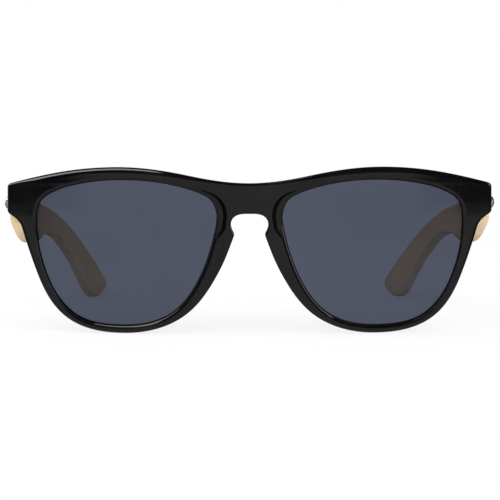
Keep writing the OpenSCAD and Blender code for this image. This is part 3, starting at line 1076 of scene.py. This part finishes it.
@dataclass
class Temple:
    """One bamboo board: broad at the lug, slender in the middle, with a tip that falls to the table."""

    place: Placing
    hinge: HingeSizes
    side: Side
    tip_t: float = 3.8
    tip_n: int = 2
    tip_share: float = 0.4
    taper_at: Pair = (3.5, 6.5)
    board_r: float = 1.1
    round_share: float = 0.46
    butt_gap: float = 0.25
    butt_r: float = 0.15
    butt_before: float = 4.0
    halvings: int = 30
    corner_n: int = 9
    slices_n: int = 150
    low: Contour = Contour(
        (
            (-3, 34.2, -27), (2.2, 31.15, -32), (10, 27.05, -21), (17.7, 25.5, 0), (25, 26.3, 10),
            (34.5, 27.3, 0), (46, 26.6, -6), (58, 24.5, -15), (72, 20.1, -19), (88, 13.95, -24),
            (103, 6.85, -26), (112.5, 2.5, -22), (120.5, 0.3, -8), (126.5, 0, 2), (136, 0.9, 9),
            (141.4, 2.15, 22), (144.2, 3.3, 62),
        )
    )
    top: Contour = Contour(
        (
            (-3, 44.6, -6), (4, 43.4, -14), (13, 40.72, -18), (21, 38.35, -15), (29, 36.8, -8),
            (38, 35.65, -8), (48, 34.2, -11), (60, 31.65, -12.5), (74, 28.25, -16), (90, 23.35, -17),
            (104, 18.75, -19.5), (114, 15.35, -18), (123, 12.25, -21), (130, 9.5, -22), (137, 6.7, -21),
            (142.2, 4.8, -26), (144.2, 3.85, -60),
        )
    )

    @property
    def end(self) -> int:
        """Number of stretches along the board."""
        return len(self.low.knots) - 1

    def thickness(self, at: float) -> float:
        """Thickness of the board, with a rounded tip.

        Args:
            at: Number of the stretch plus the share of it.

        Returns:
            The thickness in millimetres.
        """
        past = max(0.0, 1 - (self.end - at) / self.tip_n)
        flat = mix(self.hinge.board_t, self.tip_t, step(at, *self.taper_at))
        return flat * mix(self.tip_share, 1.0, math.sqrt(1 - past * past))

    def around(self, at: float) -> np.ndarray:
        """Rounded outline of the left board at a place along it.

        Args:
            at: Number of the stretch plus the share of it.

        Returns:
            The points of the outline.
        """
        k = min(int(at), self.end - 1)
        foot, head = self.low.point(k, at - k), self.top.point(k, at - k)
        h = float(np.linalg.norm(head - foot))
        w = self.thickness(at)
        r = min(self.board_r, self.round_share * h, self.round_share * w)
        points = []
        for c in range(4):
            for i in range(self.corner_n):
                a = math.radians(90 * c + 90 * i / (self.corner_n - 1))
                q = -self.hinge.board_t / 2 + (1 if c in (0, 3) else -1) * (w / 2 - r) + r * math.cos(a)
                y = (h - r if c < 2 else r) + r * math.sin(a)
                p = foot + (head - foot) / h * y
                points.append(self.hinge.board(p[0], q, p[1]))
        return np.array(points)

    def butt(self, j: int, y: float) -> float:
        """Place along the board at which one line of its surface passes the end at the lug.

        Args:
            j: Number of the line round the board.
            y: Depth of the end.

        Returns:
            The place along the board.
        """
        low, high = 0.0, self.butt_before
        for _ in range(self.halvings):
            at = (low + high) / 2
            low, high = (at, high) if self.around(at)[j][1] < y else (low, at)
        return high

    def build(self, material: Material) -> Piece:
        """Makes the board with its rounded end, and cuts the seats of the hinge.

        Args:
            material: Finish of the board.

        Returns:
            The board.
        """
        m = 4 * self.corner_n
        flat_y = self.hinge.lug_back + self.butt_gap
        starts = [self.butt(j, flat_y + self.butt_r) for j in range(m)]
        shares = np.linspace(0, 1, self.slices_n)
        body = np.zeros((self.slices_n, m, 3))
        for j, start in enumerate(starts):
            for i, share in enumerate(shares):
                body[i, j] = self.around(mix(start, self.end, share))[j]
        rings = self.rounded_end(body[0], flat_y) + list(body)
        points = [(self.side.value * p[0], p[1], p[2]) for ring in rings for p in ring]
        caps = [tuple(range(m)), tuple((len(rings) - 1) * m + j for j in range(m))]
        faces = wall(len(rings), m) + caps
        word = self.side.word
        board = self.place.mesh(f"{word}_bamboo_board", points, faces)
        carve(board, self.hinge.board_seats(self.place, self.side))
        board.data.transform(self.hinge.hang(self.place, self.side))
        shade(board, CREASE_DEG)
        dress(board, material)
        stand_for(board, f"{word}_temple", f"{word}_temple")
        return board

    def rounded_end(self, ring: np.ndarray, flat_y: float, parts: int = 4) -> list[np.ndarray]:
        """Rings that round the edge of the board's end at the lug.

        Args:
            ring: First ring of the board.
            flat_y: Depth of the flat end.
            parts: Number of rings.

        Returns:
            The rings, from the flat end to the first ring of the board.
        """
        along = np.roll(ring, -1, axis=0) - np.roll(ring, 1, axis=0)
        inward = np.stack([along[:, 2], np.zeros(len(ring)), -along[:, 0]], axis=1)
        inward /= np.linalg.norm(inward, axis=1)[:, None]
        if float(np.sum(inward * (ring.mean(axis=0) - ring))) < 0:
            inward = -inward
        rings = []
        for i in range(parts):
            a = math.radians(90 * (1 - i / parts))
            shrunk = ring + inward * self.butt_r * (1 - math.cos(a))
            shrunk[:, 1] = flat_y + self.butt_r * (1 - math.sin(a))
            rings.append(shrunk)
        return rings


@dataclass
class CoilSpring:
    """Spring between the wall of a spring box and the nut, which shortens as the temple is pulled out."""

    place: Placing
    hinge: HingeSizes
    side: Side
    wire_d: float = 0.28
    coil_r: float = 0.81
    turns: int = 4
    start: float = 5.85
    length: float = 2.7
    travel: float = 1.2
    turn_n: int = 24
    wire_n: int = 10

    def spot(self, v: float, u: float, z: float) -> Spot:
        """A place round the spring's middle line.

        Args:
            v: Distance across the box from that line.
            u: Distance along the box from the pivot.
            z: Distance up the box from that line.

        Returns:
            The place in drawing millimetres.
        """
        middle = self.hinge.pivot_in - self.hinge.box_sunk + self.hinge.box_w / 2
        p = self.hinge.along_box() @ Vector((middle + v, u, z))
        return (self.side.value * p.x, p.y, p.z)

    def build(self, material: Material) -> Piece:
        """Winds the wire, which moves with its temple.

        Args:
            material: Finish of the wire.

        Returns:
            The spring.
        """
        n, thick = self.wire_n, self.wire_d / 2
        count = self.turns * self.turn_n
        rise = (self.length - self.wire_d) / count
        points: list[Spot] = []
        for i in range(count + 1):
            a = 2 * math.pi * i / self.turn_n
            u = self.start + thick + rise * i
            for k in range(n):
                b = 2 * math.pi * k / n
                r = self.coil_r + thick * math.cos(b)
                points.append(self.spot(r * math.cos(a), u + thick * math.sin(b), r * math.sin(a)))
        caps = [tuple(range(n)), tuple(count * n + k for k in range(n))]
        faces = caps + wall(count + 1, n)
        word = self.side.word
        spring = self.place.mesh(f"{word}_coil_spring", points, faces)
        hang = self.hinge.hang(self.place, self.side)
        spring.data.transform(hang)
        shade(spring, CREASE_DEG)
        dress(spring, material)
        stand_for(spring, f"{word}_hinge_spring", f"{word}_temple")
        ends = [Vector(self.spot(0.0, u, 0.0)) for u in (self.start, self.start + self.length)]
        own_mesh(spring)
        return spring


@dataclass
class HingeSet:
    """Hinges, screws, nuts and rivets, which keep their CAD shapes and get their metals."""

    nodes: dict[str, Piece]

    def finishes(self) -> dict[str, WorkedMetal]:
        """The metal of each piece.

        Returns:
            Finishes by the last part of the node's name.
        """
        # Nickel plate is pale and satin, turned steel and brass show fine rings, and chrome is bright
        nickel = WorkedMetal("nickel_plated_hinge_steel", gloss=(0.3, 0.4), depth_mm=0.0015)
        steel = WorkedMetal("turned_screw_steel", "#b9b8b6", "#94938f", (0.2, 0.36), Marks.TURNED)
        brass = WorkedMetal("turned_brass", "#d3b061", "#b08d43", (0.2, 0.36), Marks.TURNED)
        chrome = WorkedMetal(
            "chromed_rivet",
            "#eeeef0",
            "#dedee2",
            (0.22, 0.32),
            Marks.POLISHED,
            edge_mm=0.12,
            depth_mm=0.004,
        )
        return {
            "front_hinge": nickel,
            "hinge_slider": nickel,
            "spring_box": nickel,
            "hinge_screw": steel,
            "front_box_screw": steel,
            "rear_box_screw": steel,
            "slider_nut": brass,
            "lug_rivet": chrome,
        }

    def dress(self) -> list[Piece]:
        """Gives each hinge piece its metal.

        Returns:
            The pieces.
        """
        made: dict[str, Material] = {}
        pieces = []
        for part, finish in self.finishes().items():
            if finish.name not in made:
                made[finish.name] = finish.build()
            for side in Side:
                piece = self.nodes[f"{side.word}_{part}"]
                dress(piece, made[finish.name])
                pieces.append(piece)
        return pieces


@dataclass(frozen=True)
class SoftBox:
    """A rectangular lamp: its place, the place that it points to and its size in metres, and its power."""

    name: str
    spot: Spot
    aim: Spot
    size: Pair
    watts: float
    mirrored: bool = False

    def hang(self) -> None:
        """Adds the lamp, which the camera does not see."""
        data = bpy.data.lights.new(self.name, "AREA")
        data.shape = "RECTANGLE"
        data.size, data.size_y = self.size
        data.energy = self.watts
        box = bpy.data.objects.new(self.name, data)
        box.location = self.spot
        box.rotation_euler = (Vector(self.aim) - Vector(self.spot)).to_track_quat("-Z", "Y").to_euler()
        box.visible_camera = False
        box.visible_glossy = self.mirrored
        bpy.context.scene.collection.objects.link(box)


@dataclass
class Studio:
    """White floor and background, soft lamps and the camera."""

    centre_y: float
    eye_back: float = 560.0
    eye_height: float = 56.5
    eye_x: float = 0.11
    tip_deg: float = 3.2255
    roll_deg: float = -0.102
    lens_mm: float = 137.28
    sensor_mm: float = 36.0
    floor_half: float = 3.0
    shadow_share: float = 0.22
    fade_m: Pair = (0.25, 0.8)
    table: float = 0.32
    dark: float = 0.02
    paper: float = 0.53
    ambient: Pair = (4.2, 0.5)
    # Gloss mirrors the key alone, the others are for the wood and the back
    lamps: tuple[SoftBox, ...] = (
        SoftBox("key_softbox", (-0.46, -0.01, 0.81), (0.0, -0.06, 0.03), (0.46, 0.9), 4.4, mirrored=True),
        SoftBox("right_wash", (0.55, -0.35, 0.35), (-0.05, 0.05, 0.01), (0.3, 0.3), 2.0),
        SoftBox("left_wash", (-0.5, -0.2, 0.5), (0.05, 0.04, 0.01), (0.4, 0.4), 1.6),
        SoftBox("back_softbox", (0.0, 0.7, 0.6), (0.0, 0.0, 0.02), (0.9, 0.4), 2.4),
    )

    def camera(self) -> None:
        """Sets the camera at the photograph's viewing angle."""
        data = bpy.data.cameras.new("camera")
        data.lens = self.lens_mm
        data.sensor_width = self.sensor_mm
        eye = bpy.data.objects.new("camera", data)
        eye.location = Vector((self.eye_x, -self.eye_back - self.centre_y, self.eye_height)) * MM
        tip = Matrix.Rotation(math.radians(90 - self.tip_deg), 3, "X")
        roll = Matrix.Rotation(math.radians(self.roll_deg), 3, "Z")
        eye.rotation_euler = (tip @ roll).to_euler()
        bpy.context.scene.collection.objects.link(eye)
        bpy.context.scene.camera = eye

    def seen(self, tree: Tree) -> tuple[Socket, Socket]:
        """Tells what kind of ray looks at the background.

        Args:
            tree: Node tree of the world or the floor.

        Returns:
            A value of 1 for the camera and for looks through the lenses, and a value of 1 for reflections.
        """
        path = add_node(tree, "ShaderNodeLightPath").outputs
        camera, glossy, through = (path[f"Is {kind} Ray"] for kind in ("Camera", "Glossy", "Transmission"))
        clear = add_node(tree, "ShaderNodeMath", [camera, through], operation="MAXIMUM")
        mirrored = add_node(tree, "ShaderNodeMath", [glossy, through], operation="SUBTRACT", use_clamp=True)
        return clear.outputs[0], mirrored.outputs[0]

    def patch(self, tree: Tree, *steps: tuple[Socket, float, float, float, float]) -> Socket:
        """Brightness of a patch of the room, as a product of smooth steps.

        Args:
            tree: Node tree of the world or the floor.
            *steps: For each, a value, the two ends of the step, and the levels before and after it.

        Returns:
            The brightness.
        """
        level: Socket | float = 1.0
        for one in steps:
            eased = add_node(tree, "ShaderNodeMapRange", one, interpolation_type="SMOOTHSTEP")
            both = [level, eased.outputs["Result"]]
            level = add_node(tree, "ShaderNodeMath", both, operation="MULTIPLY").outputs[0]
        return level

    def floor(self) -> None:
        """Lays a pale floor that is white to the eye and keeps a soft shadow."""
        h = self.floor_half
        data = bpy.data.meshes.new("floor")
        data.from_pydata([(-h, -h, 0), (h, -h, 0), (h, h, 0), (-h, h, 0)], [], [(0, 1, 2, 3)])
        floor = bpy.data.objects.new("floor", data)
        bpy.context.scene.collection.objects.link(floor)
        # White paper, matt and even: it has no gloss, so only its shade shows
        material = bpy.data.materials.new("white_sweep_paper")
        material.use_nodes = True
        tree = material.node_tree
        tree.nodes.clear()
        clear, glossy = self.seen(tree)
        place = add_node(tree, "ShaderNodeTexCoord").outputs["Object"]
        far = add_node(tree, "ShaderNodeVectorMath", [place], operation="LENGTH").outputs["Value"]
        x = add_node(tree, "ShaderNodeSeparateXYZ", [place]).outputs["X"]
        wide = add_node(tree, "ShaderNodeMath", [x], operation="ABSOLUTE").outputs[0]
        aside = add_node(tree, "ShaderNodeMath", [wide, far], operation="DIVIDE").outputs[0]
        # Gloss mirrors the floor before the pair, and the dark of the room at both sides
        shine = self.patch(tree, (aside, 0.75, 0.9, self.table, self.dark))
        level = add_node(tree, "ShaderNodeMix", {0: glossy, 2: 1.0, 3: shine}, data_type="FLOAT").outputs[0]
        white = self.patch(tree, (far, *self.fade_m, 1 - self.shadow_share, 1.0))
        share = add_node(tree, "ShaderNodeMath", [white, clear], operation="MULTIPLY").outputs[0]
        share = add_node(tree, "ShaderNodeMath", [share, glossy], operation="MAXIMUM").outputs[0]
        paper = add_node(tree, "ShaderNodeBsdfDiffuse", {"Color": (*[self.paper] * 3, 1.0)})
        glow = add_node(tree, "ShaderNodeEmission", {"Color": WHITE, "Strength": level})
        both = add_node(tree, "ShaderNodeMixShader", [share, paper.outputs[0], glow.outputs[0]])
        add_node(tree, "ShaderNodeOutputMaterial", [both.outputs[0]])
        dress(floor, material)

    def world(self) -> None:
        """Lights from all round: white to the eye, even light on surfaces, a dim studio in reflections."""
        world = bpy.data.worlds.new("studio")
        bpy.context.scene.world = world
        world.use_nodes = True
        tree = world.node_tree
        tree.nodes.clear()
        clear, glossy = self.seen(tree)
        toward = add_node(tree, "ShaderNodeTexCoord").outputs["Generated"]
        x, y, z = add_node(tree, "ShaderNodeSeparateXYZ", [toward]).outputs
        wide = add_node(tree, "ShaderNodeMath", [x], operation="ABSOLUTE").outputs[0]
        front_wall = ((wide, 0.45, 0.55, self.table, self.dark), (z, 0.3, 0.5, 1.0, 0.04))
        table = ((z, 0.03, 0.1, self.table, 0.0), (wide, 0.75, 0.9, 1.0, 0.0))
        left_wall = ((x, -0.6, -0.3, 0.9, 0.0), (y, 0.3, 0.5, 0.0, 1.0))
        right_window = (
            (x, 0.65, 0.75, 0.0, 2.6),
            (y, -0.4, -0.3, 0.0, 1.0),
            (y, 0.05, 0.15, 1.0, 0.0),
            (z, 0.1, 0.2, 0.0, 1.0),
        )
        room: Socket | float = 0.0
        for steps in (front_wall, table, left_wall, right_window):
            brighter = [room, self.patch(tree, *steps)]
            room = add_node(tree, "ShaderNodeMath", brighter, operation="MAXIMUM").outputs[0]
        even = self.patch(tree, (y, -0.8, -0.3, *self.ambient))
        soft = add_node(tree, "ShaderNodeMix", {0: glossy, 2: even, 3: room}, data_type="FLOAT").outputs[0]
        level = add_node(tree, "ShaderNodeMix", {0: clear, 2: soft, 3: 1.0}, data_type="FLOAT").outputs[0]
        sky = add_node(tree, "ShaderNodeBackground", {"Color": WHITE, "Strength": level})
        add_node(tree, "ShaderNodeOutputWorld", [sky.outputs[0]])

    def build(self) -> None:
        """Sets up the whole studio."""
        bpy.context.scene.view_settings.view_transform = "Standard"
        self.camera()
        self.floor()
        self.world()
        for lamp in self.lamps:
            lamp.hang()


def main() -> None:
    """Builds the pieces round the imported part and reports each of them."""
    logging.basicConfig(level=logging.INFO, format="%(message)s", stream=sys.stdout)
    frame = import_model()
    hinge = HingeSizes()
    centre_y = hinge.lug_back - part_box("front_frame")[1].y / MM
    place = Placing(centre_y)
    Studio(centre_y).build()
    front = FrontFrame(place, hinge)
    polished = MouldedPolycarbonate("moulded_black_polycarbonate")
    # The slopes beside the bridge get a darker black with almost no gloss: painted shade for the dark these
    # slopes show
    dull = MouldedPolycarbonate(
        "shade_painted_black_polycarbonate", "#010101", "#030303", gloss=(0.45, 0.6), wave_mm=1.5, shine=0.04
    )
    pieces = [front.build(polished.build(), dull.build())]
    glass = TintedLens("grey_dyed_polycarbonate_lens").build()
    for side in Side:
        pieces.append(Lens(front, side).build(glass))
        wood = SawnBamboo(f"{side.word}_oiled_bamboo", splay_deg=side.value * hinge.run_deg(side))
        pieces.append(Temple(place, hinge, side).build(wood.build()))
    # Drawn wire is a dull grey with fine streaks
    drawn = WorkedMetal("drawn_spring_wire", "#9b9a98", "#7d7c7a", (0.22, 0.4), Marks.DRAWN, edge_mm=0.05)
    wire = drawn.build()
    pieces += [CoilSpring(place, hinge, side).build(wire) for side in Side]
    pieces += HingeSet(frame["nodes"]).dress()
    for piece in pieces:
        LOG.info("%s is made of %s", piece.name, " and ".join(m.name for m in piece.data.materials))


if __name__ == "__main__":
    main()
